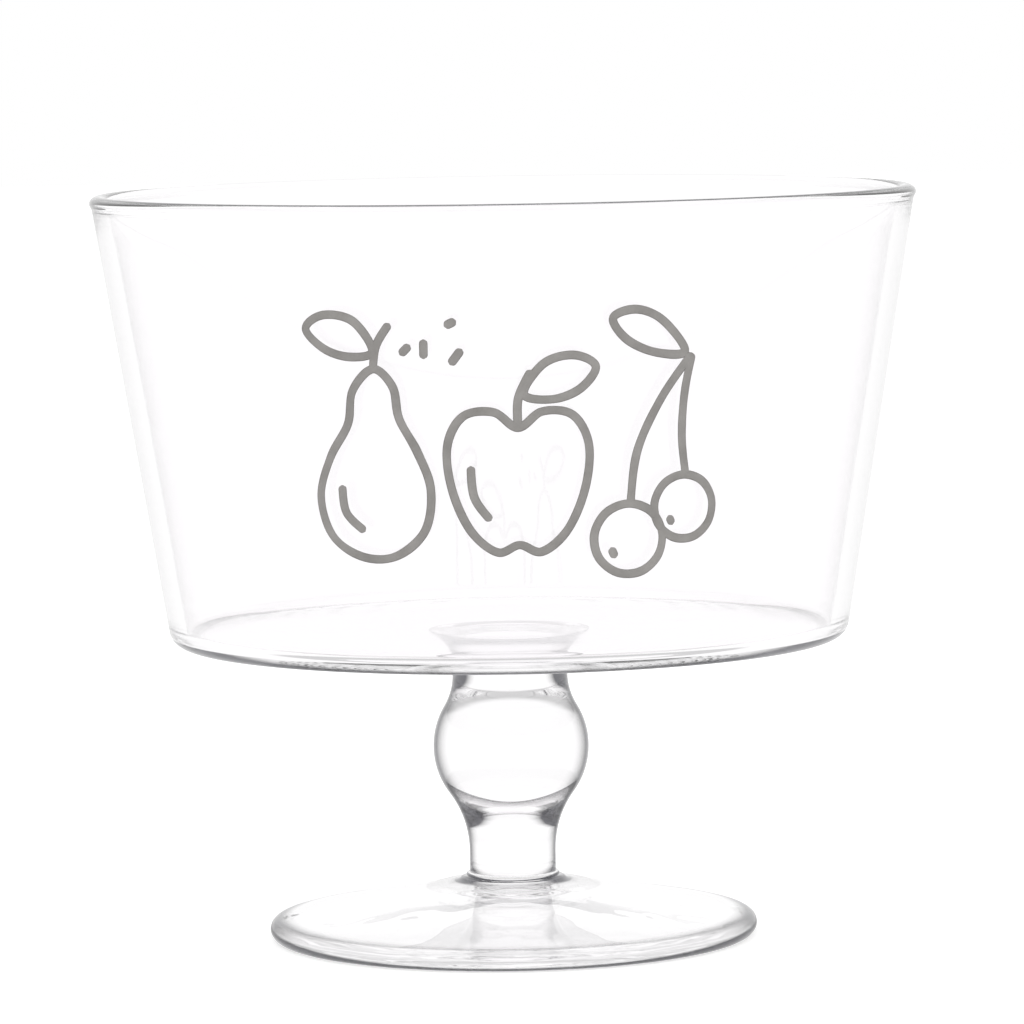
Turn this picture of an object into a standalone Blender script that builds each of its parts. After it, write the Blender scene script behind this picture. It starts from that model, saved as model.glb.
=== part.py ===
"""Footed glass fruit bowl: a flared bowl, a solid knopped stem and a round foot, fused end to end.

Metres, +Z up. The origin is on the turning axis, on the surface that the foot stands on.
Every piece is a turned shape: a half outline at +X, spun about Z.
"""

import math

import bpy

# Bowl: a straight flared wall on a flat base, with a rounded bead at the rim.
RIM_DIAMETER = 0.2150
BASE_DIAMETER = 0.1766  # the wall's outer line, run down to the underside
BOWL_HEIGHT = 0.1176
WALL_THICKNESS = 0.0045
BASE_THICKNESS = 0.0030
RIM_BEAD_HEIGHT = 0.0040
RIM_BEAD_PROUD = 0.0004
HEEL_RADIUS_OUTSIDE = 0.0045
HEEL_RADIUS_INSIDE = 0.0040

# Stem: a flare under the bowl, a waist, a round knop, and a slimmer neck down to the foot.
KNOP_DIAMETER = 0.0408
WAIST_DIAMETER = 0.0302
NECK_DIAMETER = 0.0226
FLARE_DIAMETER = 0.0420
FLARE_HEIGHT = 0.0090
WAIST_FILLET = 0.0160
NECK_FILLET = 0.0260
NECK_STRAIGHT = 0.0051

# Foot: a shallow cone with a rounded edge, a joint ring on a low pad, and a hollow that keeps the cone even.
FOOT_DIAMETER = 0.1278
FOOT_EDGE_THICKNESS = 0.0055
FOOT_HEIGHT = 0.0170
CONE_DROP = 0.0017  # from the joint down to the cone's line, where that line meets the neck
JOINT_RING_HEIGHT = 0.0014
JOINT_RING_PROUD = 0.0009
JOINT_PAD_WIDTH = 0.0021
JOINT_PAD_FILLET = 0.0045
RESTING_RING_WIDTH = 0.0050
HOLLOW_DEPTH = 0.0090
HOLLOW_ROUNDING = 0.15  # how blunt the hollow's peak is, as a share of its radius

# The pieces are fused along flat faces; a hair of space keeps them separate solids.
JOINT_GAP = 0.0003

ARC_STEP = math.radians(11.0)
BEAD_STEPS = 5
HOLLOW_STEPS = 12
BOWL_SEGMENTS = 72
STEM_SEGMENTS = 48
FOOT_SEGMENTS = 64

CLEAR_GLASS = (0.93, 0.95, 0.94, 1.0)
GLASS_ROUGHNESS = 0.02
GLASS_IOR = 1.52


def arc(centre, radius, start, end):
    """Points along a circular arc, ends included; angles run from +X towards +Z."""
    steps = max(2, math.ceil(abs(end - start) / ARC_STEP))
    angles = [start + (end - start) * i / steps for i in range(steps + 1)]
    return [(centre[0] + radius * math.cos(a), centre[1] + radius * math.sin(a)) for a in angles]


def bowl_outline():
    """From the middle of the inner floor, up the inside, over the rim, down the outside to the underside."""
    rim_radius = RIM_DIAMETER / 2
    base_radius = BASE_DIAMETER / 2
    bead_half = RIM_BEAD_HEIGHT / 2
    bead_z = BOWL_HEIGHT - bead_half
    rise = (rim_radius - RIM_BEAD_PROUD - base_radius) / bead_z
    lean = math.atan(rise)
    wall_across = WALL_THICKNESS / math.cos(lean)

    def outer(z):
        return base_radius + rise * z

    def inner(z):
        return outer(z) - wall_across

    # Both heels round off the corner between a flat face and a wall that leans outwards.
    inside_z = BASE_THICKNESS + HEEL_RADIUS_INSIDE
    inside_r = inner(inside_z) - HEEL_RADIUS_INSIDE / math.cos(lean)
    outside_z = HEEL_RADIUS_OUTSIDE
    outside_r = outer(outside_z) - HEEL_RADIUS_OUTSIDE / math.cos(lean)

    points = [(0.0, BASE_THICKNESS)]
    points += arc((inside_r, inside_z), HEEL_RADIUS_INSIDE, -math.pi / 2, -lean)

    # The rim's top is half an ellipse as wide as the wall and the bead that stands proud of it.
    bead_width = rim_radius - inner(bead_z)
    bead_r = rim_radius - bead_width / 2
    for i in range(2 * BEAD_STEPS + 1):
        angle = math.pi * (1 - i / (2 * BEAD_STEPS))
        points.append((bead_r + bead_width / 2 * math.cos(angle), bead_z + bead_half * math.sin(angle)))
    for i in range(1, BEAD_STEPS + 1):
        z = bead_z - bead_half * i / BEAD_STEPS
        points.append((outer(z) + RIM_BEAD_PROUD * (1 + math.cos(math.pi * i / BEAD_STEPS)) / 2, z))

    points += arc((outside_r, outside_z), HEEL_RADIUS_OUTSIDE, -lean, -math.pi / 2)
    points.append((0.0, 0.0))
    return points


def stem_outline():
    """From the middle of the top face, down the outside to the middle of the bottom face."""
    knop = KNOP_DIAMETER / 2
    waist = WAIST_DIAMETER / 2
    neck = NECK_DIAMETER / 2

    # Each fillet touches the knop, so its centre is one fillet radius outside it.
    neck_drop = math.sqrt((knop + NECK_FILLET) ** 2 - (neck + NECK_FILLET) ** 2)
    waist_rise = math.sqrt((knop + WAIST_FILLET) ** 2 - (waist + WAIST_FILLET) ** 2)
    knop_z = NECK_STRAIGHT + neck_drop
    waist_z = knop_z + waist_rise
    waist_centre = (waist + WAIST_FILLET, waist_z)
    neck_centre = (neck + NECK_FILLET, NECK_STRAIGHT)
    upper_touch = math.atan2(waist_rise, waist_centre[0])
    lower_touch = math.atan2(neck_drop, neck_centre[0])

    # The flare leaves the waist upright and reaches its full width at the bowl.
    flare_out = FLARE_DIAMETER / 2 - waist
    flare_radius = (flare_out**2 + FLARE_HEIGHT**2) / (2 * flare_out)
    flare_centre = (waist + flare_radius, waist_z)
    flare_turn = math.asin(FLARE_HEIGHT / flare_radius)

    points = [(0.0, waist_z + FLARE_HEIGHT)]
    points += arc(flare_centre, flare_radius, math.pi - flare_turn, math.pi)
    points += arc(waist_centre, WAIST_FILLET, math.pi, math.pi + upper_touch)[1:]
    points += arc((0.0, knop_z), knop, upper_touch, -lower_touch)[1:]
    points += arc(neck_centre, NECK_FILLET, math.pi - lower_touch, math.pi)[1:]
    points += [(neck, 0.0), (0.0, 0.0)]
    return points


def foot_outline():
    """From the middle of the top face, over the joint ring, down the cone, round the edge and underneath."""
    neck = NECK_DIAMETER / 2
    ring_half = JOINT_RING_HEIGHT / 2
    edge = FOOT_EDGE_THICKNESS / 2
    edge_centre = (FOOT_DIAMETER / 2 - edge, edge)
    hollow_radius = edge_centre[0] - RESTING_RING_WIDTH

    points = [(0.0, FOOT_HEIGHT), (neck, FOOT_HEIGHT)]
    for i in range(1, BEAD_STEPS + 1):
        angle = math.pi / 2 - math.pi * i / BEAD_STEPS
        ring_z = FOOT_HEIGHT - ring_half * (1 - math.sin(angle))
        points.append((neck + JOINT_RING_PROUD * math.cos(angle), ring_z))

    # The cone is the straight line from the neck that touches the rounded edge; touch is the way it faces.
    away = (neck - edge_centre[0], FOOT_HEIGHT - CONE_DROP - edge_centre[1])
    touch = math.atan2(away[1], away[0]) - math.acos(edge / math.hypot(*away))

    # The pad's fillet runs from the pad's brim, which stands this much proud of the cone, down onto the cone.
    brim = (neck + JOINT_PAD_WIDTH, FOOT_HEIGHT - JOINT_RING_HEIGHT)
    proud = JOINT_PAD_WIDTH * math.cos(touch) + (CONE_DROP - JOINT_RING_HEIGHT) * math.sin(touch)
    outwards = math.sqrt(2 * JOINT_PAD_FILLET * proud - proud**2)
    lift = JOINT_PAD_FILLET - proud
    fillet_centre = (
        brim[0] + outwards * math.sin(touch) + lift * math.cos(touch),
        brim[1] - outwards * math.cos(touch) + lift * math.sin(touch),
    )
    brim_angle = math.atan2(brim[1] - fillet_centre[1], brim[0] - fillet_centre[0])
    points += arc(fillet_centre, JOINT_PAD_FILLET, brim_angle, touch - math.pi)
    points += arc(edge_centre, edge, touch, -math.pi / 2)

    # The hollow is a cone with a blunt peak.
    peak = math.hypot(1, HOLLOW_ROUNDING)
    for i in range(HOLLOW_STEPS + 1):
        share = 1 - i / HOLLOW_STEPS
        rise = (peak - math.hypot(share, HOLLOW_ROUNDING)) / (peak - HOLLOW_ROUNDING)
        points.append((hollow_radius * share, HOLLOW_DEPTH * rise))
    return points


def clear_glass(name):
    """Colourless soda-lime glass, drawn see-through."""
    material = bpy.data.materials.new(name)
    material.use_nodes = True
    shader = material.node_tree.nodes["Principled BSDF"]
    shader.inputs["Base Color"].default_value = CLEAR_GLASS
    shader.inputs["Roughness"].default_value = GLASS_ROUGHNESS
    shader.inputs["Metallic"].default_value = 0.0
    shader.inputs["IOR"].default_value = GLASS_IOR
    shader.inputs["Transmission Weight"].default_value = 1.0
    return material


def turned_piece(name, outline, segments, lift, collection, parent):
    """One turned piece: its half outline as a chain of edges, spun about Z and set at its height."""
    mesh = bpy.data.meshes.new(name)
    edges = [(i, i + 1) for i in range(len(outline) - 1)]
    mesh.from_pydata([(r, 0.0, z) for r, z in outline], edges, [])
    piece = bpy.data.objects.new(name, mesh)
    collection.objects.link(piece)
    piece.parent = parent
    piece.location.z = lift

    spin = piece.modifiers.new("Spin", "SCREW")
    spin.axis = "Z"
    spin.angle = math.tau
    spin.steps = segments
    spin.render_steps = segments
    spin.use_merge_vertices = True
    spin.merge_threshold = 0.00001
    spin.use_smooth_shade = True

    mesh.materials.append(clear_glass(name + "_glass"))
    return piece


def main():
    for old in list(bpy.data.objects):
        bpy.data.objects.remove(old, do_unlink=True)

    collection = bpy.data.collections.new("footed_fruit_bowl")
    bpy.context.scene.collection.children.link(collection)
    axis = bpy.data.objects.new("turning_axis", None)
    collection.objects.link(axis)

    stem = stem_outline()
    stem_lift = FOOT_HEIGHT + JOINT_GAP
    bowl_lift = stem_lift + stem[0][1] + JOINT_GAP

    turned_piece("foot", foot_outline(), FOOT_SEGMENTS, 0.0, collection, axis)
    turned_piece("stem", stem, STEM_SEGMENTS, stem_lift, collection, axis)
    turned_piece("bowl", bowl_outline(), BOWL_SEGMENTS, bowl_lift, collection, axis)


main()
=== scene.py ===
"""Looks of the footed fruit bowl: clear glass turned about one axis, with a fired print on its front.

Metres, +Z up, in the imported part's own frame. Sizes written in millimetres carry the factor MM.
"""

import math

import bpy
from mathutils import Matrix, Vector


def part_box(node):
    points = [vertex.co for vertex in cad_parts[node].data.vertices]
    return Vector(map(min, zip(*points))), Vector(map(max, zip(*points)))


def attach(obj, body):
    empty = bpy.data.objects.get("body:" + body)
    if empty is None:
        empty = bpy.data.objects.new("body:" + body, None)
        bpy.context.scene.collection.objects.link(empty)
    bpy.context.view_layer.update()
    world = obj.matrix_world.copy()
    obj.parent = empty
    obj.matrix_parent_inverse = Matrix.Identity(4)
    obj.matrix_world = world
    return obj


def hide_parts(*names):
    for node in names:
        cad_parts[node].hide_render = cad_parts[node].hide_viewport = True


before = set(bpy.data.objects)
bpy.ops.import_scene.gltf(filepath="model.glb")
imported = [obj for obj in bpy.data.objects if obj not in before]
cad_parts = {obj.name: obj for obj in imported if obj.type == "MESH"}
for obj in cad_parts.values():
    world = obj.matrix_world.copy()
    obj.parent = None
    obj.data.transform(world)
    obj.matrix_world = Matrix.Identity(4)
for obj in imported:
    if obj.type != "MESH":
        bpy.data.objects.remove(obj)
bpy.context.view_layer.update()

MM = 0.001

# The glass pieces take their reach from the frame.
BOWL_LOW, BOWL_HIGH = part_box("bowl")
RIM_RADIUS = BOWL_HIGH.x
BOWL_TOP = BOWL_HIGH.z
BOWL_BOTTOM = BOWL_LOW.z
BOWL_HEIGHT = BOWL_TOP - BOWL_BOTTOM
STEM_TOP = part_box("stem")[1].z
FOOT_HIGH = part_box("foot")[1]
FOOT_RADIUS = FOOT_HIGH.x
FOOT_TOP = FOOT_HIGH.z

# Bowl: a straight flared wall on a flat base, with a rounded bead at the rim.
BASE_RADIUS = 88.3 * MM
WALL_THICKNESS = 4.5 * MM
BASE_THICKNESS = 3.0 * MM
BEAD_HEIGHT = 4.0 * MM
BEAD_PROUD = 0.4 * MM
HEEL_OUTSIDE = 4.5 * MM
HEEL_INSIDE = 4.0 * MM
BEAD_Z = BOWL_HEIGHT - BEAD_HEIGHT / 2
WALL_RISE = (RIM_RADIUS - BEAD_PROUD - BASE_RADIUS) / BEAD_Z
WALL_LEAN = math.atan(WALL_RISE)

# Stem: a flare under the bowl, a waist, a round knop, and a slimmer neck down to the foot.
KNOP_RADIUS = 20.4 * MM
WAIST_RADIUS = 15.1 * MM
NECK_RADIUS = 11.3 * MM
FLARE_RADIUS = 21.0 * MM
FLARE_HEIGHT = 9.0 * MM
WAIST_FILLET = 16.0 * MM
NECK_FILLET = 26.0 * MM

# Foot: a shallow cone with a rounded edge, a joint ring on a low pad, and a hollow underneath.
EDGE_THICKNESS = 5.5 * MM
CONE_DROP = 1.7 * MM
RING_HEIGHT = 1.4 * MM
RING_PROUD = 0.9 * MM
PAD_WIDTH = 2.1 * MM
PAD_FILLET = 4.5 * MM
RESTING_RING = 5.0 * MM
HOLLOW_DEPTH = 9.0 * MM
HOLLOW_ROUNDING = 0.15  # how blunt the hollow's peak is, as a share of its radius
COLLAR_INSIDE = 17.6 * MM  # radii of the soft ring that the hot joint pushed up around itself
COLLAR_OUTSIDE = 23.0 * MM
COLLAR_HEIGHT = 0.25 * MM

# Hand work in the glass: how far the surface swings in and out, and over what length.
BOWL_WAVES = (0.03 * MM, 45.0 * MM)
STEM_WAVES = (0.03 * MM, 20.0 * MM)
FOOT_WAVES = (0.05 * MM, 9.0 * MM)
STRIAE_SPACING = (40.0 * MM, 40.0 * MM, 7.14 * MM)  # long around the axis, close together up it
STRIAE_DEPTH = 0.004 * MM

# Painted edge shade: how much the glass's colour darkens at a place where it is seen at a slant, standing
# in for light that thick glass turns away from the white surroundings. A pane has none.
RIM_TOP = 0.4 * MM  # the height of the rim that draws its line
HEEL_TOP = 0.9 * BASE_THICKNESS  # the height up to which the outside of the bowl counts as its heel
FLOOR_TOP = BASE_THICKNESS + 0.1 * MM
RIM_OUTSIDE_PAINTED_SHADE = 1.5
RIM_INSIDE_PAINTED_SHADE = 0.62
BEAD_PAINTED_SHADE = 0.45
WALL_PAINTED_SHADE = 0.61
FLOOR_PAINTED_SHADE = 0.0
HEEL_PAINTED_SHADE = 1.25
STEM_PAINTED_SHADE = 1.0
# On the stem: the strongest value, its height, and how far above and below that it reaches.
KNOP_END_PAINTED_SHADE = (2.4, FOOT_TOP + 15.3 * MM, 4.2 * MM)
WAIST_PAINTED_SHADE = (2.0, BOWL_BOTTOM - 9.0 * MM, 5.5 * MM)
FLARE_PAINTED_SHADE = (1.7, BOWL_BOTTOM, 4.5 * MM)
CONE_PAINTED_SHADE = 0.53
PAD_PAINTED_SHADE = 0.64
CREASE_REACH = 1.2 * MM  # above and below the crease under the joint ring
CREASE_PAINTED_SHADE = 2.1
PAD_CREASE_PAINTED_SHADE = 0.9
EDGE_PAINTED_SHADE = 0.9
EDGE_UNDER_PAINTED_SHADE = 0.9  # added at the underside of the edge
EDGE_UNDER_REACH = 0.55 * EDGE_THICKNESS
PAINTED_SHADE_START = 0.38  # slant times painted edge shade at which an outline's painted shade starts
PAINTED_SHADE_END = 0.74  # and at which it is darkest

# Print on the front of the wall: one pen width for every stroke, and where the middle of the drawing sits.
PRINT_HEIGHT = 56.0 * MM  # above the bowl's underside
PEN_WIDTH = 2.2 * MM
INK_DEPTH = 0.06 * MM
INK_LIFT = 0.08 * MM
PEN_STEP = 0.4 * MM
PEN_TIP = 0.12  # the blunt tip of a stroke, as a share of the pen's width
PEN_PRESS_LENGTH = 9.0 * MM  # over which the pressure changes
PEN_PRESS_SWING = 0.24
NIB_SIDES = 8
FRIT_GRAIN = 0.385 * MM  # coarser than real frit, so that it shows
FRIT_CLOUD = 6.25 * MM
FRIT_RELIEF = 0.01 * MM

# Fineness of the turned meshes.
ARC_STEP = math.radians(4.0)
LINE_STEP = 4.0 * MM
BOWL_LINE_STEP = 9.0 * MM
BOWL_TURN_STEPS = 800
STEM_TURN_STEPS = 256
FOOT_TURN_STEPS = 360
BEAD_STEPS = 8
CROWN_STEPS = 24
RING_STEPS = 16
CONE_STEPS = 30
MERGE_DISTANCE = 0.001 * MM
SAME_PLACE = 0.0001 * MM

# Camera, fitted to the outlines of the rim, heel and foot in a frame 1024 pixels square.
CAMERA_DISTANCE = 1.613
CAMERA_SIDE = 1.2 * MM
CAMERA_HEIGHT = 0.2515
CAMERA_PITCH = math.radians(4.965)
CAMERA_ROLL = math.radians(-0.9)
CAMERA_LENS = 217.7
CAMERA_SENSOR = 36.0

# Studio, as the glass sees it. Levels are shares of white. A soft shadow of the bowl is painted on the
# floor around its foot.
FLOOR_SIZE = 12.0
FLOOR_DROP = 0.1 * MM
FLOOR_LEVEL = 1.05
FLOOR_LIFT = 0.55  # brings the matt floor up to white for the camera
UNDER_FOOT_FRONT = 0.96
UNDER_FOOT_TURN = (-30.0 * MM, 10.0 * MM)  # from the front part under the foot to the rest
NEAR_SHADE = 0.64
NEAR_SHADE_START = (60.0 * MM, 70.0 * MM)
NEAR_SHADE_END = (98.0 * MM, 116.0 * MM)
SWEEP_LEVEL = 1.05
SWEEP_SIDES = (42.0, 66.0)  # degrees to each side of the line behind the bowl
ROOM_LEVELS = [  # degrees above the floor, and the level there
    (0.0, 1.03), (12.0, 1.03), (22.0, 0.85), (30.0, 0.35), (50.0, 0.35), (56.0, 1.05), (90.0, 1.05),
]
BRIGHTEST = 2.0  # a level curve runs from 0 to 1, so it holds levels as shares of this
LIGHT_BOUNCES = 64


def linear(hex_code):
    """An sRGB hex value as linear RGBA."""
    parts = [int(hex_code[i : i + 2], 16) / 255 for i in (1, 3, 5)]
    return [p / 12.92 if p <= 0.04045 else ((p + 0.055) / 1.055) ** 2.4 for p in parts] + [1.0]


def add(tree, kind, settings=None, inputs=None):
    """Adds a node. Settings are its properties; inputs are links or values by socket name or number."""
    node = tree.nodes.new(kind)
    for name, value in (settings or {}).items():
        setattr(node, name, value)
    for key, value in (inputs or {}).items():
        if isinstance(value, bpy.types.NodeSocket):
            tree.links.new(value, node.inputs[key])
        else:
            node.inputs[key].default_value = value
    return node


def new_material(name):
    """An empty node material and its node tree."""
    material = bpy.data.materials.new(name)
    material.use_nodes = True
    material.node_tree.nodes.clear()
    return material, material.node_tree


# Materials


def soda_lime_glass():
    """Soda-lime glass, fire-polished: colourless and very smooth, with faint striae left by the turning.

    Thick glass seen at a slant turns light away from the white surroundings, so its outlines draw dark;
    here that is painted shade, a darker colour where the glass is seen at a slant.
    A thin wall gets little of this painted shade, and stays pale to its edge.
    """
    material, tree = new_material("soda_lime_glass")
    spot = add(tree, "ShaderNodeTexCoord").outputs["Object"]
    ringed = add(
        tree, "ShaderNodeVectorMath", {"operation": "DIVIDE"}, {0: spot, 1: STRIAE_SPACING}
    ).outputs[0]
    striae = add(
        tree, "ShaderNodeTexNoise", inputs={"Vector": ringed, "Scale": 1.0, "Detail": 2.0}
    ).outputs[0]
    relief = add(
        tree, "ShaderNodeBump", inputs={"Strength": 1.0, "Distance": STRIAE_DEPTH, "Height": striae}
    ).outputs[0]
    # Painted shade: where thick glass is seen at a slant, its colour is darkened towards dark grey, so its
    # outlines draw dark.
    slant = add(tree, "ShaderNodeLayerWeight", inputs={"Blend": 0.5}).outputs["Facing"]
    painted_edge_shade = add(tree, "ShaderNodeAttribute", {"attribute_name": "painted_edge_shade"}).outputs["Fac"]
    strength = add(tree, "ShaderNodeMath", {"operation": "MULTIPLY"}, {0: slant, 1: painted_edge_shade}).outputs[0]
    painted_darkening = add(
        tree,
        "ShaderNodeMapRange",
        {"interpolation_type": "SMOOTHSTEP"},
        {"Value": strength, "From Min": PAINTED_SHADE_START, "From Max": PAINTED_SHADE_END},
    ).outputs[0]
    tone = add(
        tree, "ShaderNodeMix", {"data_type": "RGBA"}, {0: painted_darkening, 6: linear("#FEFDFE"), 7: linear("#232327")}
    ).outputs[2]
    shader = add(
        tree,
        "ShaderNodeBsdfPrincipled",
        inputs={
            "Base Color": tone,
            "Roughness": 0.0,
            "IOR": 1.52,
            "Transmission Weight": 1.0,
            "Normal": relief,
        },
    )
    add(tree, "ShaderNodeOutputMaterial", inputs={"Surface": shader.outputs["BSDF"]})
    return material


def fused_joint():
    """Where two gathers of hot glass have run together there is no surface left: light goes straight on."""
    material, tree = new_material("fused_joint")
    shader = add(
        tree, "ShaderNodeBsdfPrincipled", inputs={"Alpha": 0.0, "IOR": 1.0, "Specular IOR Level": 0.0}
    )
    add(tree, "ShaderNodeOutputMaterial", inputs={"Surface": shader.outputs["BSDF"]})
    return material


def fired_enamel():
    """Warm grey screen enamel fired onto glass: matt to satin, with the fine grain of the printed frit."""
    material, tree = new_material("fired_enamel")
    spot = add(tree, "ShaderNodeTexCoord").outputs["Object"]
    grain = add(
        tree, "ShaderNodeTexNoise", inputs={"Vector": spot, "Scale": 1 / FRIT_GRAIN, "Detail": 2.0}
    ).outputs[0]
    cloud = add(
        tree, "ShaderNodeTexNoise", inputs={"Vector": spot, "Scale": 1 / FRIT_CLOUD, "Detail": 2.0}
    ).outputs[0]
    both = add(
        tree, "ShaderNodeMath", {"operation": "MULTIPLY_ADD"}, {0: grain, 1: 0.45, 2: cloud}
    ).outputs[0]
    shade = add(
        tree, "ShaderNodeMapRange", inputs={"Value": both, "From Min": 0.45, "From Max": 1.0}
    ).outputs[0]
    tone = add(
        tree,
        "ShaderNodeMix",
        {"data_type": "RGBA"},
        {0: shade, 6: linear("#8F8C89"), 7: linear("#A7A4A1")},
    ).outputs[2]
    sheen = add(
        tree, "ShaderNodeMapRange", inputs={"Value": grain, "To Min": 0.42, "To Max": 0.6}
    ).outputs[0]
    relief = add(
        tree, "ShaderNodeBump", inputs={"Strength": 0.5, "Distance": FRIT_RELIEF, "Height": grain}
    ).outputs[0]
    shader = add(
        tree,
        "ShaderNodeBsdfPrincipled",
        inputs={"Base Color": tone, "Roughness": sheen, "IOR": 1.5, "Normal": relief},
    )
    add(tree, "ShaderNodeOutputMaterial", inputs={"Surface": shader.outputs["BSDF"]})
    return material


# Outlines of the turned pieces, as (radius, height) from the axis outwards and back to it


def arc(centre, radius, start, end):
    """Points along a circular arc, ends included; angles run from +X towards +Z."""
    steps = max(2, math.ceil(abs(end - start) / ARC_STEP))
    angles = [start + (end - start) * i / steps for i in range(steps + 1)]
    return [(centre[0] + radius * math.cos(a), centre[1] + radius * math.sin(a)) for a in angles]


def line(start, end, step):
    """Points along a straight line, without its ends."""
    steps = max(1, math.ceil(math.dist(start, end) / step))
    return [
        (start[0] + (end[0] - start[0]) * i / steps, start[1] + (end[1] - start[1]) * i / steps)
        for i in range(1, steps)
    ]


def joined(*stretches, step=LINE_STEP):
    """Stretches of an outline end to end, with straight lines between them."""
    points = list(stretches[0])
    for stretch in stretches[1:]:
        points += line(points[-1], stretch[0], step) + list(stretch)
    return points


def bowl_outline():
    """From the middle of the underside, up the outside, over the rim, and down inside to the middle."""
    wall_across = WALL_THICKNESS / math.cos(WALL_LEAN)

    def outer(z):
        return BASE_RADIUS + WALL_RISE * z

    def inner(z):
        return outer(z) - wall_across

    outside_r = outer(HEEL_OUTSIDE) - HEEL_OUTSIDE / math.cos(WALL_LEAN)
    inside_z = BASE_THICKNESS + HEEL_INSIDE
    inside_r = inner(inside_z) - HEEL_INSIDE / math.cos(WALL_LEAN)

    # The rim: a bead that swells out of the wall, and over it half an ellipse as wide as wall and bead.
    half = BEAD_HEIGHT / 2
    width = RIM_RADIUS - inner(BEAD_Z)
    bead_r = RIM_RADIUS - width / 2
    bead = []
    for i in range(BEAD_STEPS):
        z = BEAD_Z - half * (1 - i / BEAD_STEPS)
        bead.append((outer(z) + BEAD_PROUD * (1 - math.cos(math.pi * i / BEAD_STEPS)) / 2, z))
    turns = [math.pi * i / CROWN_STEPS for i in range(CROWN_STEPS + 1)]
    crown = [(bead_r + width / 2 * math.cos(a), BEAD_Z + half * math.sin(a)) for a in turns]

    points = joined(
        [(0.0, 0.0)],
        [(FLARE_RADIUS, 0.0)],
        arc((outside_r, HEEL_OUTSIDE), HEEL_OUTSIDE, -math.pi / 2, -WALL_LEAN),
        bead + crown,
        arc((inside_r, inside_z), HEEL_INSIDE, -WALL_LEAN, -math.pi / 2),
        [(0.0, BASE_THICKNESS)],
        step=BOWL_LINE_STEP,
    )
    return [(r, BOWL_BOTTOM + z) for r, z in points]


def stem_outline():
    """From the middle of the bottom face, up the outside to the middle of the top face."""
    neck_drop = math.sqrt((KNOP_RADIUS + NECK_FILLET) ** 2 - (NECK_RADIUS + NECK_FILLET) ** 2)
    waist_rise = math.sqrt((KNOP_RADIUS + WAIST_FILLET) ** 2 - (WAIST_RADIUS + WAIST_FILLET) ** 2)
    waist_z = STEM_TOP - FLARE_HEIGHT
    knop_z = waist_z - waist_rise
    neck_centre = (NECK_RADIUS + NECK_FILLET, knop_z - neck_drop)
    waist_centre = (WAIST_RADIUS + WAIST_FILLET, waist_z)
    lower_touch = math.atan2(neck_drop, neck_centre[0])
    upper_touch = math.atan2(waist_rise, waist_centre[0])
    flare_out = FLARE_RADIUS - WAIST_RADIUS
    flare_arc = (flare_out**2 + FLARE_HEIGHT**2) / (2 * flare_out)
    flare_turn = math.asin(FLARE_HEIGHT / flare_arc)

    flare = arc((WAIST_RADIUS + flare_arc, waist_z), flare_arc, math.pi, math.pi - flare_turn)
    return joined(
        [(0.0, FOOT_TOP)],
        [(NECK_RADIUS, FOOT_TOP)],
        arc(neck_centre, NECK_FILLET, math.pi, math.pi - lower_touch)
        + arc((0.0, knop_z), KNOP_RADIUS, -lower_touch, upper_touch)[1:]
        + arc(waist_centre, WAIST_FILLET, math.pi + upper_touch, math.pi)[1:]
        + flare[1:-1]
        + [(FLARE_RADIUS, BOWL_BOTTOM)],
        [(0.0, BOWL_BOTTOM)],
    )


def foot_outline():
    """From the middle of the hollow, over the resting ring and the edge, up the cone to the joint."""
    edge = EDGE_THICKNESS / 2
    edge_centre = (FOOT_RADIUS - edge, edge)
    hollow_radius = edge_centre[0] - RESTING_RING

    # The cone is the straight line from the neck that touches the rounded edge; touch is the way it faces.
    away = (NECK_RADIUS - edge_centre[0], FOOT_TOP - CONE_DROP - edge_centre[1])
    touch = math.atan2(away[1], away[0]) - math.acos(edge / math.hypot(*away))

    # The pad's fillet runs from the cone up to the pad's brim, which stands this much proud of the cone.
    brim = (NECK_RADIUS + PAD_WIDTH, FOOT_TOP - RING_HEIGHT)
    proud = PAD_WIDTH * math.cos(touch) + (CONE_DROP - RING_HEIGHT) * math.sin(touch)
    outwards = math.sqrt(2 * PAD_FILLET * proud - proud**2)
    lift = PAD_FILLET - proud
    fillet_centre = (
        brim[0] + outwards * math.sin(touch) + lift * math.cos(touch),
        brim[1] - outwards * math.cos(touch) + lift * math.sin(touch),
    )
    brim_angle = math.atan2(brim[1] - fillet_centre[1], brim[0] - fillet_centre[0])
    ring_half = RING_HEIGHT / 2
    turns = [-math.pi / 2 + math.pi * i / RING_STEPS for i in range(RING_STEPS + 1)]
    ring_z = FOOT_TOP - ring_half
    ring = [(NECK_RADIUS + RING_PROUD * math.cos(a), ring_z + ring_half * math.sin(a)) for a in turns]

    # The hollow is a cone with a blunt peak.
    shares = [i / CONE_STEPS for i in range(CONE_STEPS + 1)]
    peak = math.hypot(1, HOLLOW_ROUNDING)
    slope = HOLLOW_DEPTH / (peak - HOLLOW_ROUNDING)
    hollow = [(hollow_radius * s, slope * (peak - math.hypot(s, HOLLOW_ROUNDING))) for s in shares]

    # The collar swells out of the cone's straight line, square to it.
    facing = (math.cos(touch), math.sin(touch))
    cone_r = edge_centre[0] + edge * facing[0]
    cone_z = edge_centre[1] + edge * facing[1]
    collar = []
    for s in shares:
        r = COLLAR_OUTSIDE + (COLLAR_INSIDE - COLLAR_OUTSIDE) * s
        z = cone_z + (cone_r - r) * facing[0] / facing[1]
        rise = COLLAR_HEIGHT * (1 - math.cos(math.tau * s)) / 2
        collar.append((r + rise * facing[0], z + rise * facing[1]))

    return joined(
        hollow,
        arc(edge_centre, edge, -math.pi / 2, touch),
        collar,
        arc(fillet_centre, PAD_FILLET, touch - math.pi, brim_angle),
        ring,
        [(0.0, FOOT_TOP)],
    )


# Geometry Nodes


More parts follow.
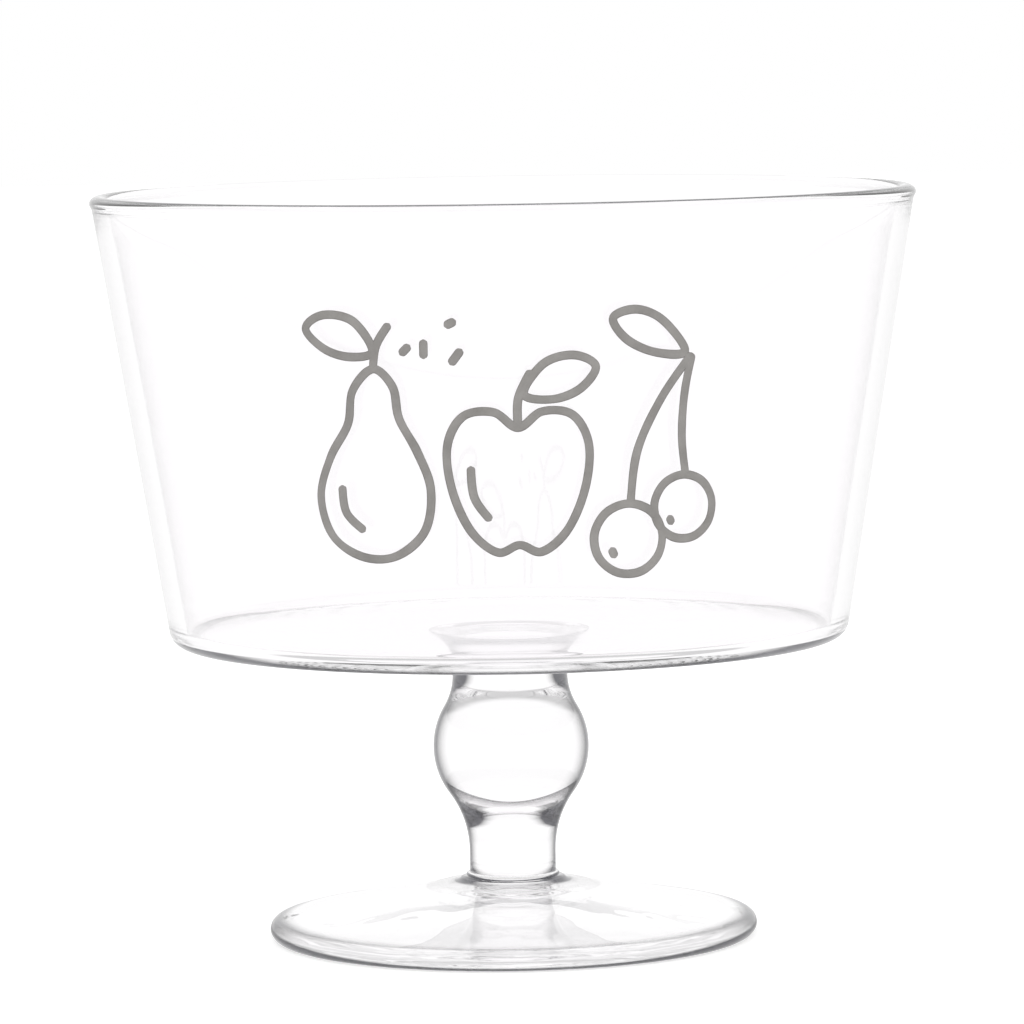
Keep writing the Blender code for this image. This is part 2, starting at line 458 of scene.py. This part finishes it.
def new_tree(name, sockets):
    """A geometry tree with a Geometry input and output and the named inputs."""
    tree = bpy.data.node_groups.new(name, "GeometryNodeTree")
    tree.interface.new_socket("Geometry", in_out="INPUT", socket_type="NodeSocketGeometry")
    tree.interface.new_socket("Geometry", in_out="OUTPUT", socket_type="NodeSocketGeometry")
    for label, kind in sockets.items():
        tree.interface.new_socket(label, in_out="INPUT", socket_type=kind)
    return tree


def grown(name, data, tree, values):
    """Runs a tree on an outline or a drawing, and gives the result as a plain mesh at the origin."""
    source = bpy.data.objects.new(name + "_source", data)
    bpy.context.scene.collection.objects.link(source)
    modifier = source.modifiers.new(tree.name, "NODES")
    modifier.node_group = tree
    for item in tree.interface.items_tree:
        if item.in_out == "INPUT" and item.name in values:
            modifier[item.identifier] = values[item.name]
    bpy.context.view_layer.update()
    evaluated = source.evaluated_get(bpy.context.evaluated_depsgraph_get())
    mesh = bpy.data.meshes.new_from_object(evaluated)
    mesh.name = name
    while mesh.materials[0] is None:
        mesh.materials.pop(index=0)
    bpy.data.objects.remove(source, do_unlink=True)
    piece = bpy.data.objects.new(name, mesh)
    bpy.context.scene.collection.objects.link(piece)
    return piece


def turning_tree():
    """Spins an outline about Z into a closed piece. Points marked fused make faces of joint material."""
    tree = new_tree(
        "turned_glass",
        {
            "Turn Steps": "NodeSocketInt",
            "Wave Depth": "NodeSocketFloat",
            "Wave Length": "NodeSocketFloat",
            "Glass": "NodeSocketMaterial",
            "Joint": "NodeSocketMaterial",
        },
    )
    given = add(tree, "NodeGroupInput").outputs
    count = add(
        tree, "GeometryNodeAttributeDomainSize", {"component": "MESH"}, {0: given["Geometry"]}
    ).outputs["Point Count"]
    columns = add(
        tree, "FunctionNodeIntegerMath", {"operation": "ADD"}, {0: given["Turn Steps"], 1: 1}
    ).outputs[0]
    grid = add(
        tree, "GeometryNodeMeshGrid", inputs={"Vertices X": columns, "Vertices Y": count}
    ).outputs["Mesh"]
    index = add(tree, "GeometryNodeInputIndex").outputs[0]
    row = add(tree, "FunctionNodeIntegerMath", {"operation": "MODULO"}, {0: index, 1: count}).outputs[0]
    column = add(tree, "FunctionNodeIntegerMath", {"operation": "DIVIDE"}, {0: index, 1: count}).outputs[0]
    step = add(
        tree, "ShaderNodeMath", {"operation": "DIVIDE"}, {0: math.tau, 1: given["Turn Steps"]}
    ).outputs[0]
    turn = add(tree, "ShaderNodeMath", {"operation": "MULTIPLY"}, {0: column, 1: step}).outputs[0]
    here = add(tree, "GeometryNodeInputPosition").outputs[0]
    place = add(
        tree,
        "GeometryNodeSampleIndex",
        {"data_type": "FLOAT_VECTOR", "domain": "POINT"},
        {"Geometry": given["Geometry"], "Value": here, "Index": row},
    ).outputs[0]
    spun = add(
        tree, "ShaderNodeVectorRotate", {"rotation_type": "Z_AXIS"}, {"Vector": place, "Angle": turn}
    ).outputs[0]

    # Every point of the grid takes over the marks of its point on the outline.
    marked = grid
    for label, kind in (("fused", "BOOLEAN"), ("painted_edge_shade", "FLOAT")):
        mark = add(
            tree, "GeometryNodeInputNamedAttribute", {"data_type": kind}, {"Name": label}
        ).outputs[0]
        carried = add(
            tree,
            "GeometryNodeSampleIndex",
            {"data_type": kind, "domain": "POINT"},
            {"Geometry": given["Geometry"], "Value": mark, "Index": row},
        ).outputs[0]
        marked = add(
            tree,
            "GeometryNodeStoreNamedAttribute",
            {"data_type": kind, "domain": "POINT"},
            {"Geometry": marked, "Name": label, "Value": carried},
        ).outputs[0]
    shaped = add(tree, "GeometryNodeSetPosition", inputs={"Geometry": marked, "Position": spun}).outputs[0]
    closed = add(
        tree, "GeometryNodeMergeByDistance", inputs={"Geometry": shaped, "Distance": MERGE_DISTANCE}
    ).outputs[0]
    is_fused = add(
        tree, "GeometryNodeInputNamedAttribute", {"data_type": "BOOLEAN"}, {"Name": "fused"}
    ).outputs[0]

    # The surface swings gently in and out, as glass shaped by hand does, but not where pieces are fused.
    waves = add(
        tree, "ShaderNodeMath", {"operation": "DIVIDE"}, {0: 1.0, 1: given["Wave Length"]}
    ).outputs[0]
    swing = add(tree, "ShaderNodeTexNoise", inputs={"Scale": waves, "Detail": 1.0}).outputs[0]
    swing = add(
        tree, "ShaderNodeMath", {"operation": "MULTIPLY_ADD"}, {0: swing, 1: 2.0, 2: -1.0}
    ).outputs[0]
    swing = add(
        tree, "ShaderNodeMath", {"operation": "MULTIPLY"}, {0: swing, 1: given["Wave Depth"]}
    ).outputs[0]
    free = add(tree, "FunctionNodeBooleanMath", {"operation": "NOT"}, {0: is_fused}).outputs[0]
    normal = add(tree, "GeometryNodeInputNormal").outputs[0]
    outwards = add(
        tree, "ShaderNodeVectorMath", {"operation": "SCALE"}, {0: normal, "Scale": swing}
    ).outputs[0]
    wavy = add(
        tree, "GeometryNodeSetPosition", inputs={"Geometry": closed, "Selection": free, "Offset": outwards}
    ).outputs[0]
    smooth = add(
        tree, "GeometryNodeSetShadeSmooth", {"domain": "FACE"}, {"Geometry": wavy, "Shade Smooth": True}
    ).outputs[0]
    flat = add(
        tree,
        "GeometryNodeSetShadeSmooth",
        {"domain": "FACE"},
        {"Geometry": smooth, "Selection": is_fused, "Shade Smooth": False},
    ).outputs[0]
    whole = add(tree, "GeometryNodeRealizeInstances", inputs={"Geometry": flat}).outputs[0]
    glass = add(
        tree, "GeometryNodeSetMaterial", inputs={"Geometry": whole, "Material": given["Glass"]}
    ).outputs[0]
    done = add(
        tree,
        "GeometryNodeSetMaterial",
        inputs={"Geometry": glass, "Selection": is_fused, "Material": given["Joint"]},
    ).outputs[0]
    add(tree, "NodeGroupOutput", inputs={"Geometry": done})
    return tree


def turned(name, outline, tree, steps, joints, waves, painted_shade_at, materials):
    """One glass piece that stands for its CAD node.

    Joints are the (radius, height) of its fused faces. The weight of the painted edge shade is given as a
    function of radius and height.
    """
    mesh = bpy.data.meshes.new(name + "_outline")
    edges = [(i, i + 1) for i in range(len(outline) - 1)]
    mesh.from_pydata([(r, 0.0, z) for r, z in outline], edges, [])
    fused = mesh.attributes.new("fused", "BOOLEAN", "POINT")
    for i, (r, z) in enumerate(outline):
        fused.data[i].value = any(
            r < reach + SAME_PLACE and abs(z - height) < SAME_PLACE for reach, height in joints
        )
    painted_edge_shade = mesh.attributes.new("painted_edge_shade", "FLOAT", "POINT")
    for i, (r, z) in enumerate(outline):
        painted_edge_shade.data[i].value = painted_shade_at(r, z)
    values = {"Turn Steps": steps, "Wave Depth": waves[0], "Wave Length": waves[1]}
    values["Glass"], values["Joint"] = materials
    piece = grown(name, mesh, tree, values)
    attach(piece, "root")
    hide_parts(name.removesuffix("_glass"))


def swell(z, middle, reach):
    """1 at a height, falling smoothly to 0 at its reach above and below."""
    return max(0.0, 1 - ((z - middle) / reach) ** 2)


def bowl_painted_shade(r, z):
    """Painted edge shade on the bowl: a thin wall gets it only at its very edge, a flat floor not at all.
    Heel and rim are thick and get the most.
    """
    if z > BOWL_TOP - RIM_TOP:
        is_outside = r > RIM_RADIUS - BEAD_PROUD - WALL_THICKNESS / 2
        return RIM_OUTSIDE_PAINTED_SHADE if is_outside else RIM_INSIDE_PAINTED_SHADE
    if z > BOWL_TOP - BEAD_HEIGHT:
        return BEAD_PAINTED_SHADE
    if z < BOWL_BOTTOM + HEEL_TOP:
        return HEEL_PAINTED_SHADE
    if z < BOWL_BOTTOM + FLOOR_TOP:
        return FLOOR_PAINTED_SHADE
    return WALL_PAINTED_SHADE


def stem_painted_shade(r, z):
    """Painted edge shade on the stem, which is thick glass throughout: some all over, most where the knop
    draws in to the neck, at the waist and under the bowl.
    """
    places = (KNOP_END_PAINTED_SHADE, WAIST_PAINTED_SHADE, FLARE_PAINTED_SHADE)
    return max(STEM_PAINTED_SHADE, *(most * swell(z, middle, reach) for most, middle, reach in places))


def foot_painted_shade(r, z):
    """Painted edge shade on the foot: a thin cone between a rounded edge and the pad that the stem lands
    on.
    """
    if z < EDGE_THICKNESS:
        return EDGE_PAINTED_SHADE + EDGE_UNDER_PAINTED_SHADE * swell(z, 0.0, EDGE_UNDER_REACH)
    crease = swell(z, FOOT_TOP - RING_HEIGHT, CREASE_REACH)
    if r < NECK_RADIUS + PAD_WIDTH:
        return PAD_PAINTED_SHADE + CREASE_PAINTED_SHADE * crease
    if r < COLLAR_OUTSIDE:
        return PAD_PAINTED_SHADE + PAD_CREASE_PAINTED_SHADE * crease
    return CONE_PAINTED_SHADE


def glass_pieces():
    """Bowl, stem and foot, with the fused faces between them."""
    tree = turning_tree()
    materials = soda_lime_glass(), fused_joint()
    under_bowl = (FLARE_RADIUS, BOWL_BOTTOM)
    on_foot = (NECK_RADIUS, FOOT_TOP)
    bowl = bowl_outline()
    stem = stem_outline()
    foot = foot_outline()
    turned("bowl_glass", bowl, tree, BOWL_TURN_STEPS, [under_bowl], BOWL_WAVES, bowl_painted_shade, materials)
    joints = [under_bowl, on_foot]
    turned("stem_glass", stem, tree, STEM_TURN_STEPS, joints, STEM_WAVES, stem_painted_shade, materials)
    turned("foot_glass", foot, tree, FOOT_TURN_STEPS, [on_foot], FOOT_WAVES, foot_painted_shade, materials)


def fruit_drawing():
    """Pear, apple and cherries as pen strokes, (closed, points), in millimetres from the print's middle."""
    cherries = [
        [(x + r * math.sin(math.tau * i / 9), y + r * math.cos(math.tau * i / 9)) for i in range(9)]
        for x, y, r in ((30.5, -22.5, 9.0), (45.5, -15.0, 8.2))
    ]
    pear = [
        (-33, 21.5), (-28, 17), (-26.5, 9), (-22, 0.5), (-18.8, -9), (-20.5, -19.5),
        (-28, -26), (-37, -26.2), (-45, -21), (-48, -11), (-45, -1), (-40, 7.5), (-38.5, 16),
    ]
    apple = [
        (3, 6.5), (9, 10.5), (16.5, 9.5), (20.5, 2), (19.5, -9), (15, -19.5), (8.5, -25),
        (3, -23.2), (-2.5, -25), (-9, -19.5), (-13.5, -9), (-14.5, 2), (-10.5, 9.5), (-3, 10.5),
    ]
    strokes = [(True, pear), (True, apple)] + [(True, cherry) for cherry in cherries]
    strokes += [
        (False, [(-33, 21.5), (-32, 27.5), (-28.5, 33)]),
        (True, [(-33, 26), (-38, 33.5), (-46, 35), (-51, 31.5), (-46, 26.5), (-39, 24.5)]),
        (False, [(-42, -8), (-41, -15), (-36, -19.8)]),
        (False, [(3, 6.5), (3.2, 14), (6.5, 21)]),
        (True, [(4.5, 15), (9.5, 22.5), (17, 24.5), (22.5, 21.5), (18.5, 16), (11.5, 13.5)]),
        (False, [(-8.8, -3), (-8, -11), (-4, -17)]),
        (False, [(31, -13.5), (33, 0), (39.5, 13), (48, 24)]),
        (False, [(46, -6.8), (45, 3), (45.8, 14), (48, 24)]),
        (True, [(46, 24.5), (40, 32.5), (33, 35.5), (27, 33.5), (30.5, 28), (38, 24.5)]),
        (False, [(25.8, -24.5), (27, -27.3)]),
        (False, [(41.2, -17), (42.3, -19.5)]),
        (False, [(-20, 24), (-20, 29)]),
        (False, [(-13.5, 22.5), (-10.5, 26.5)]),
        (False, [(-26, 25), (-23.4, 27.6)]),
        (False, [(-14.8, 32.2), (-11.8, 33.6)]),
    ]
    return strokes


def pen_tree():
    """Turns flat pen strokes into thin round-ended ribbons of ink, wrapped onto the flared wall."""
    tree = new_tree(
        "pen_strokes",
        {
            "Pen Width": "NodeSocketFloat",
            "Ink Depth": "NodeSocketFloat",
            "Step": "NodeSocketFloat",
            "Middle Height": "NodeSocketFloat",
            "Middle Radius": "NodeSocketFloat",
            "Rise": "NodeSocketFloat",
            "Ink": "NodeSocketMaterial",
        },
    )
    given = add(tree, "NodeGroupInput").outputs
    curved = add(
        tree, "GeometryNodeCurveSplineType", {"spline_type": "CATMULL_ROM"}, {"Curve": given["Geometry"]}
    ).outputs[0]
    fine = add(
        tree, "GeometryNodeResampleCurve", {"mode": "LENGTH"}, {"Curve": curved, "Length": given["Step"]}
    ).outputs[0]

    # The pen is lifted at each end of an open stroke, so the ribbon narrows there in a half circle.
    along = add(tree, "GeometryNodeSplineParameter").outputs["Length"]
    length = add(tree, "GeometryNodeSplineLength").outputs["Length"]
    left = add(tree, "ShaderNodeMath", {"operation": "SUBTRACT"}, {0: length, 1: along}).outputs[0]
    to_end = add(tree, "ShaderNodeMath", {"operation": "MINIMUM"}, {0: along, 1: left}).outputs[0]
    half = add(
        tree, "ShaderNodeMath", {"operation": "MULTIPLY"}, {0: given["Pen Width"], 1: 0.5}
    ).outputs[0]
    share = add(
        tree, "ShaderNodeMath", {"operation": "DIVIDE", "use_clamp": True}, {0: to_end, 1: half}
    ).outputs[0]
    back = add(tree, "ShaderNodeMath", {"operation": "SUBTRACT"}, {0: 1.0, 1: share}).outputs[0]
    square = add(tree, "ShaderNodeMath", {"operation": "MULTIPLY"}, {0: back, 1: back}).outputs[0]
    rest = add(tree, "ShaderNodeMath", {"operation": "SUBTRACT"}, {0: 1.0, 1: square}).outputs[0]
    end = add(tree, "ShaderNodeMath", {"operation": "SQRT"}, {0: rest}).outputs[0]
    end = add(tree, "ShaderNodeMath", {"operation": "MAXIMUM"}, {0: end, 1: PEN_TIP}).outputs[0]
    looped = add(tree, "GeometryNodeInputSplineCyclic").outputs[0]
    width = add(
        tree, "GeometryNodeSwitch", {"input_type": "FLOAT"}, {"Switch": looped, "False": end, "True": 1.0}
    ).outputs[0]

    # The pen's pressure changes a little along the stroke.
    press = add(
        tree, "ShaderNodeTexNoise", inputs={"Scale": 1 / PEN_PRESS_LENGTH, "Detail": 1.0}
    ).outputs[0]
    press = add(
        tree,
        "ShaderNodeMath",
        {"operation": "MULTIPLY_ADD"},
        {0: press, 1: PEN_PRESS_SWING, 2: 1 - PEN_PRESS_SWING / 2},
    ).outputs[0]
    width = add(tree, "ShaderNodeMath", {"operation": "MULTIPLY"}, {0: width, 1: press}).outputs[0]
    level = add(tree, "GeometryNodeSetCurveNormal", {"mode": "Z_UP"}, {"Curve": fine}).outputs[0]

    ring = add(
        tree, "GeometryNodeCurvePrimitiveCircle", inputs={"Resolution": NIB_SIDES, "Radius": 1.0}
    ).outputs[0]
    thick = add(
        tree, "ShaderNodeMath", {"operation": "MULTIPLY"}, {0: given["Ink Depth"], 1: 0.5}
    ).outputs[0]
    nib = add(tree, "ShaderNodeCombineXYZ", inputs={"X": half, "Y": thick, "Z": 1.0}).outputs[0]
    section = add(tree, "GeometryNodeTransform", inputs={"Geometry": ring, "Scale": nib}).outputs[0]
    ribbon = add(
        tree,
        "GeometryNodeCurveToMesh",
        inputs={"Curve": level, "Profile Curve": section, "Scale": width, "Fill Caps": True},
    ).outputs[0]

    # Flat X and Y go round and up the wall; flat Z stands off it.
    here = add(tree, "GeometryNodeInputPosition").outputs[0]
    flat = add(tree, "ShaderNodeSeparateXYZ", inputs={0: here}).outputs
    slant = add(tree, "ShaderNodeMath", {"operation": "ARCTANGENT"}, {0: given["Rise"]}).outputs[0]
    upright = add(tree, "ShaderNodeMath", {"operation": "COSINE"}, {0: slant}).outputs[0]
    climb = add(tree, "ShaderNodeMath", {"operation": "MULTIPLY"}, {0: flat["Y"], 1: upright}).outputs[0]
    height = add(
        tree, "ShaderNodeMath", {"operation": "ADD"}, {0: climb, 1: given["Middle Height"]}
    ).outputs[0]
    wall = add(
        tree,
        "ShaderNodeMath",
        {"operation": "MULTIPLY_ADD"},
        {0: climb, 1: given["Rise"], 2: given["Middle Radius"]},
    ).outputs[0]
    angle = add(tree, "ShaderNodeMath", {"operation": "DIVIDE"}, {0: flat["X"], 1: wall}).outputs[0]
    reach = add(tree, "ShaderNodeMath", {"operation": "ADD"}, {0: wall, 1: flat["Z"]}).outputs[0]
    spoke = add(tree, "ShaderNodeCombineXYZ", inputs={"Y": -1.0}).outputs[0]
    spoke = add(
        tree, "ShaderNodeVectorRotate", {"rotation_type": "Z_AXIS"}, {"Vector": spoke, "Angle": angle}
    ).outputs[0]
    spoke = add(tree, "ShaderNodeVectorMath", {"operation": "SCALE"}, {0: spoke, "Scale": reach}).outputs[0]
    rise = add(tree, "ShaderNodeCombineXYZ", inputs={"Z": height}).outputs[0]
    place = add(tree, "ShaderNodeVectorMath", {"operation": "ADD"}, {0: spoke, 1: rise}).outputs[0]
    wrapped = add(
        tree, "GeometryNodeSetPosition", inputs={"Geometry": ribbon, "Position": place}
    ).outputs[0]
    smooth = add(
        tree, "GeometryNodeSetShadeSmooth", {"domain": "FACE"}, {"Geometry": wrapped, "Shade Smooth": True}
    ).outputs[0]
    whole = add(tree, "GeometryNodeRealizeInstances", inputs={"Geometry": smooth}).outputs[0]
    done = add(
        tree, "GeometryNodeSetMaterial", inputs={"Geometry": whole, "Material": given["Ink"]}
    ).outputs[0]
    add(tree, "NodeGroupOutput", inputs={"Geometry": done})
    return tree


def printed_fruit():
    """The fired print, lying on the outside of the wall."""
    drawing = bpy.data.curves.new("fruit_drawing", "CURVE")
    drawing.dimensions = "3D"
    for closed, points in fruit_drawing():
        spline = drawing.splines.new("POLY")
        spline.points.add(len(points) - 1)
        spline.use_cyclic_u = closed
        for point, (x, y) in zip(spline.points, points):
            point.co = (x * MM, y * MM, 0.0, 1.0)
    values = {
        "Pen Width": PEN_WIDTH,
        "Ink Depth": INK_DEPTH,
        "Step": PEN_STEP,
        "Middle Height": BOWL_BOTTOM + PRINT_HEIGHT,
        "Middle Radius": BASE_RADIUS + WALL_RISE * PRINT_HEIGHT + INK_LIFT,
        "Rise": WALL_RISE,
        "Ink": fired_enamel(),
    }
    piece = grown("printed_fruit", drawing, pen_tree(), values)
    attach(piece, "root")


# Stage


def camera():
    """Looks at the front of the bowl from a little above the rim."""
    data = bpy.data.cameras.new("camera")
    data.lens = CAMERA_LENS
    data.sensor_width = CAMERA_SENSOR
    data.clip_start = 0.01
    data.clip_end = 100.0
    eye = bpy.data.objects.new("camera", data)
    bpy.context.scene.collection.objects.link(eye)
    eye.matrix_world = (
        Matrix.Translation((CAMERA_SIDE, -CAMERA_DISTANCE, CAMERA_HEIGHT))
        @ Matrix.Rotation(math.pi / 2 - CAMERA_PITCH, 4, "X")
        @ Matrix.Rotation(CAMERA_ROLL, 4, "Z")
    )
    bpy.context.scene.camera = eye


def white_floor():
    """A matt white table top. The camera sees it white; the glass sees a painted soft shadow around the
    foot.
    """
    material, tree = new_material("matt_white_laminate")
    path = add(tree, "ShaderNodeLightPath").outputs
    through = add(
        tree,
        "ShaderNodeMath",
        {"operation": "MAXIMUM"},
        {0: path["Is Glossy Ray"], 1: path["Is Transmission Ray"]},
    ).outputs[0]
    lift = add(
        tree, "ShaderNodeMath", {"operation": "MULTIPLY"}, {0: path["Is Camera Ray"], 1: FLOOR_LIFT}
    ).outputs[0]
    board = add(tree, "ShaderNodeBsdfDiffuse", inputs={"Color": linear("#E6E6E6")}).outputs[0]
    glow = add(tree, "ShaderNodeEmission", inputs={"Strength": lift}).outputs[0]
    direct = add(tree, "ShaderNodeAddShader", inputs={0: board, 1: glow}).outputs[0]

    spot = add(tree, "ShaderNodeTexCoord").outputs["Object"]
    away = add(tree, "ShaderNodeVectorMath", {"operation": "LENGTH"}, {0: spot}).outputs["Value"]
    front = add(tree, "ShaderNodeSeparateXYZ", inputs={0: spot}).outputs["Y"]
    # Each soft step: what is measured, where it starts and ends, and the levels on both sides of it.
    soft = {"interpolation_type": "SMOOTHSTEP"}
    names = ("Value", "From Min", "From Max", "To Min", "To Max")
    # Painted shadow: the glow that the glass sees is lower in a ring around the foot, and a little lower
    # under its front.
    near = add(
        tree, "ShaderNodeMapRange", soft, dict(zip(names, (away, *NEAR_SHADE_END, NEAR_SHADE, FLOOR_LEVEL)))
    ).outputs[0]
    under = add(
        tree,
        "ShaderNodeMapRange",
        soft,
        dict(zip(names, (front, *UNDER_FOOT_TURN, UNDER_FOOT_FRONT, FLOOR_LEVEL))),
    ).outputs[0]
    shade = add(
        tree, "ShaderNodeMapRange", soft, dict(zip(names, (away, *NEAR_SHADE_START, under, near)))
    ).outputs[0]
    refracted = add(tree, "ShaderNodeEmission", inputs={"Strength": shade}).outputs[0]
    seen = add(tree, "ShaderNodeMixShader", inputs={0: through, 1: direct, 2: refracted}).outputs[0]
    add(tree, "ShaderNodeOutputMaterial", inputs={"Surface": seen})

    bpy.ops.mesh.primitive_plane_add(size=FLOOR_SIZE, location=(0.0, 0.0, -FLOOR_DROP))
    floor = bpy.context.object
    floor.name = "floor"
    floor.data.materials.append(material)


def studio():
    """Even white light for every matt surface. The glass sees a white sweep behind the bowl, in a room.

    The room is white at the height of the bowl and overhead, with a darker band between.
    """
    world = bpy.data.worlds.new("studio")
    world.use_nodes = True
    bpy.context.scene.world = world
    tree = world.node_tree
    tree.nodes.clear()
    looking = add(tree, "ShaderNodeTexCoord").outputs["Generated"]
    way = add(tree, "ShaderNodeSeparateXYZ", inputs={0: looking}).outputs
    level_way = add(tree, "ShaderNodeCombineXYZ", inputs={"X": way["X"], "Y": way["Y"]}).outputs[0]
    level_way = add(tree, "ShaderNodeVectorMath", {"operation": "NORMALIZE"}, {0: level_way}).outputs[0]
    behind = add(tree, "ShaderNodeSeparateXYZ", inputs={0: level_way}).outputs["Y"]
    in_sweep = add(
        tree,
        "ShaderNodeMapRange",
        {"interpolation_type": "SMOOTHSTEP"},
        {
            "Value": behind,
            "From Min": math.cos(math.radians(SWEEP_SIDES[1])),
            "From Max": math.cos(math.radians(SWEEP_SIDES[0])),
        },
    ).outputs[0]

    # The curve starts with a point at each end; the levels in between are added.
    bands = add(tree, "ShaderNodeFloatCurve", inputs={"Value": way["Z"]})
    curve = bands.mapping.curves[0]
    spots = [(math.sin(math.radians(angle)), level / BRIGHTEST) for angle, level in ROOM_LEVELS]
    curve.points[0].location = spots[0]
    for spot in spots[1:-1]:
        curve.points.new(*spot)
    curve.points[-1].location = spots[-1]
    for point in curve.points:
        point.handle_type = "VECTOR"
    bands.mapping.update()
    room = add(
        tree, "ShaderNodeMath", {"operation": "MULTIPLY"}, {0: bands.outputs[0], 1: BRIGHTEST}
    ).outputs[0]
    seen = add(
        tree, "ShaderNodeMix", {"data_type": "FLOAT"}, {0: in_sweep, 2: room, 3: SWEEP_LEVEL}
    ).outputs[0]
    path = add(tree, "ShaderNodeLightPath").outputs
    through = add(
        tree,
        "ShaderNodeMath",
        {"operation": "MAXIMUM"},
        {0: path["Is Glossy Ray"], 1: path["Is Transmission Ray"]},
    ).outputs[0]
    level = add(tree, "ShaderNodeMix", {"data_type": "FLOAT"}, {0: through, 2: 1.0, 3: seen}).outputs[0]
    light = add(tree, "ShaderNodeBackground", inputs={"Color": linear("#FFFFFF"), "Strength": level})
    add(tree, "ShaderNodeOutputWorld", inputs={"Surface": light.outputs[0]})

    scene = bpy.context.scene
    scene.view_settings.view_transform = "Standard"
    scene.cycles.max_bounces = LIGHT_BOUNCES
    scene.cycles.transmission_bounces = LIGHT_BOUNCES
    scene.cycles.glossy_bounces = LIGHT_BOUNCES
    scene.cycles.transparent_max_bounces = LIGHT_BOUNCES


camera()
glass_pieces()
printed_fruit()
white_floor()
studio()
